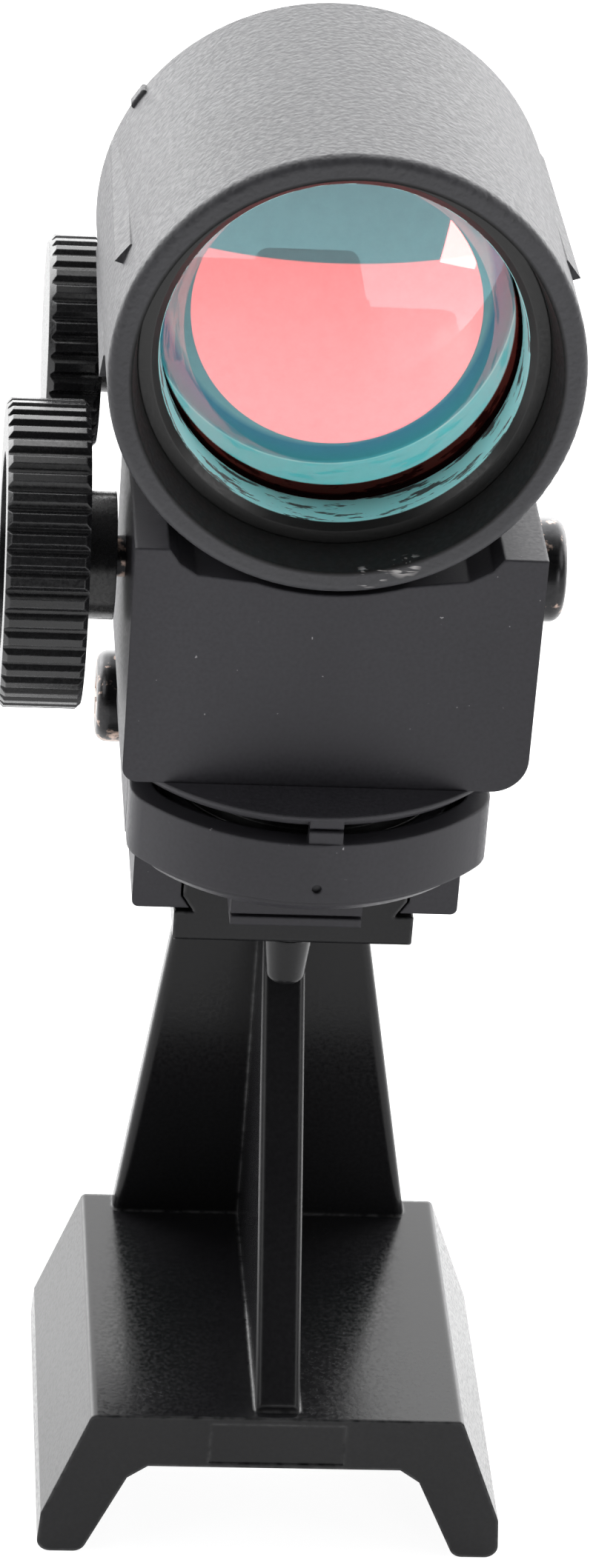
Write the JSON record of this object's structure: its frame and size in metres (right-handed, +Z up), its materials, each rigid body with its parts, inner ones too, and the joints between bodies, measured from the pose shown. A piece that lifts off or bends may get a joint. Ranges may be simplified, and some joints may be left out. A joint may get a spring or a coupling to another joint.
{
  "type": "red dot finder",
  "caption": "Reflex sight tube with a tilted coated lens, side knobs and a coin-cell drawer, clamped on a tall bracket with a dovetail foot for a telescope finder shoe.",
  "frame": {"origin": "centre of the bracket foot, level with the tips of its legs", "axes": "+Z up, -Y towards the lens hood, +X to the right seen from the hood, along the adjuster screw"},
  "size_m": [0.0403, 0.0545, 0.1093],
  "materials": {
    "bracket_plastic": "fine spark-eroded satin black",
    "housing_plastic": "fine spark-eroded satin black",
    "tube_plastic": "fine-grained matt black",
    "knob_plastic": "semi-gloss black",
    "inner_plastic": "matt black",
    "black_screw": "black oxide, worn",
    "steel": "zinc plated",
    "spring_steel": "bright",
    "brass": "plain",
    "coated_glass": "red-reflecting coating",
    "cell_steel": "bright nickel",
    "board_green": "solder mask",
    "lamp_red": "tinted clear",
    "wire_black": "insulation"
  },
  "bodies": {
    "bracket": {"mount_bracket": "bracket_plastic"},
    "base": {"base_housing": "housing_plastic", "saddle_block": "housing_plastic", "saddle_screws": "steel", "contact_top": "brass", "contact_side": "brass", "clamp_nut": "steel", "azimuth_spring": "spring_steel", "altitude_spring": "spring_steel"},
    "clamp_screw": {"clamp_screw": "black_screw"},
    "drawer": {"battery_drawer": "housing_plastic", "coin_cell": "cell_steel"},
    "azimuth_wheel": {"azimuth_knob": "knob_plastic", "azimuth_screw": "black_screw"},
    "trunnion": {"azimuth_nut": "brass"},
    "altitude_wheel": {"altitude_wheel": "knob_plastic", "altitude_screw": "steel"},
    "sight": {"sight_tube": "tube_plastic", "lens": "coated_glass", "lens_ring": "inner_plastic", "rear_cover": "housing_plastic", "cover_screws": "black_screw", "circuit_board": "board_green", "led": "lamp_red", "lamp_mask": "inner_plastic", "brightness_switch": "inner_plastic", "lead_wires": "wire_black", "altitude_nut": "brass"},
    "power_wheel": {"power_knob": "knob_plastic", "power_spindle": "steel"}
  },
  "joints": [
    {"name": "rail_slide", "type": "slide", "parent": "bracket", "child": "base", "axis": [0, 1, 0], "range_m": [-0.006, 0.002]},
    {"name": "clamp_turn", "type": "hinge", "parent": "base", "child": "clamp_screw", "pos_m": [-0.0133, 0.025, 0.05135], "axis": [1, 0, 0], "range_deg": [-360, 0]},
    {"name": "drawer_slide", "type": "slide", "parent": "base", "child": "drawer", "axis": [0, -1, 0], "range_m": [0, 0.018]},
    {"name": "azimuth_swing", "type": "hinge", "parent": "base", "child": "trunnion", "pos_m": [0, 0.0325, 0.07265], "axis": [0, 0, 1], "range_deg": [-1, 1]},
    {"name": "altitude_tilt", "type": "hinge", "parent": "trunnion", "child": "sight", "pos_m": [0, 0.007, 0.07265], "axis": [1, 0, 0], "range_deg": [-2, 0.5], "deforming": ["altitude_spring"]},
    {"name": "azimuth_turn", "type": "hinge", "parent": "base", "child": "azimuth_wheel", "pos_m": [-0.0196, 0.007, 0.07265], "axis": [1, 0, 0], "range_deg": [-120, 120]},
    {"name": "altitude_turn", "type": "hinge", "parent": "base", "child": "altitude_wheel", "pos_m": [0, 0.0325, 0.05585], "axis": [0, 0, 1], "range_deg": [-45, 180]},
    {"name": "power_turn", "type": "hinge", "parent": "sight", "child": "power_wheel", "pos_m": [-0.0175, 0.0258, 0.08055], "axis": [1, 0, 0], "range_deg": [0, 270]}
  ],
  "couplings": [
    {"joint": "azimuth_turn", "follows": "azimuth_swing", "ratio": -120},
    {"joint": "altitude_turn", "follows": "altitude_tilt", "ratio": -90}
  ]
}
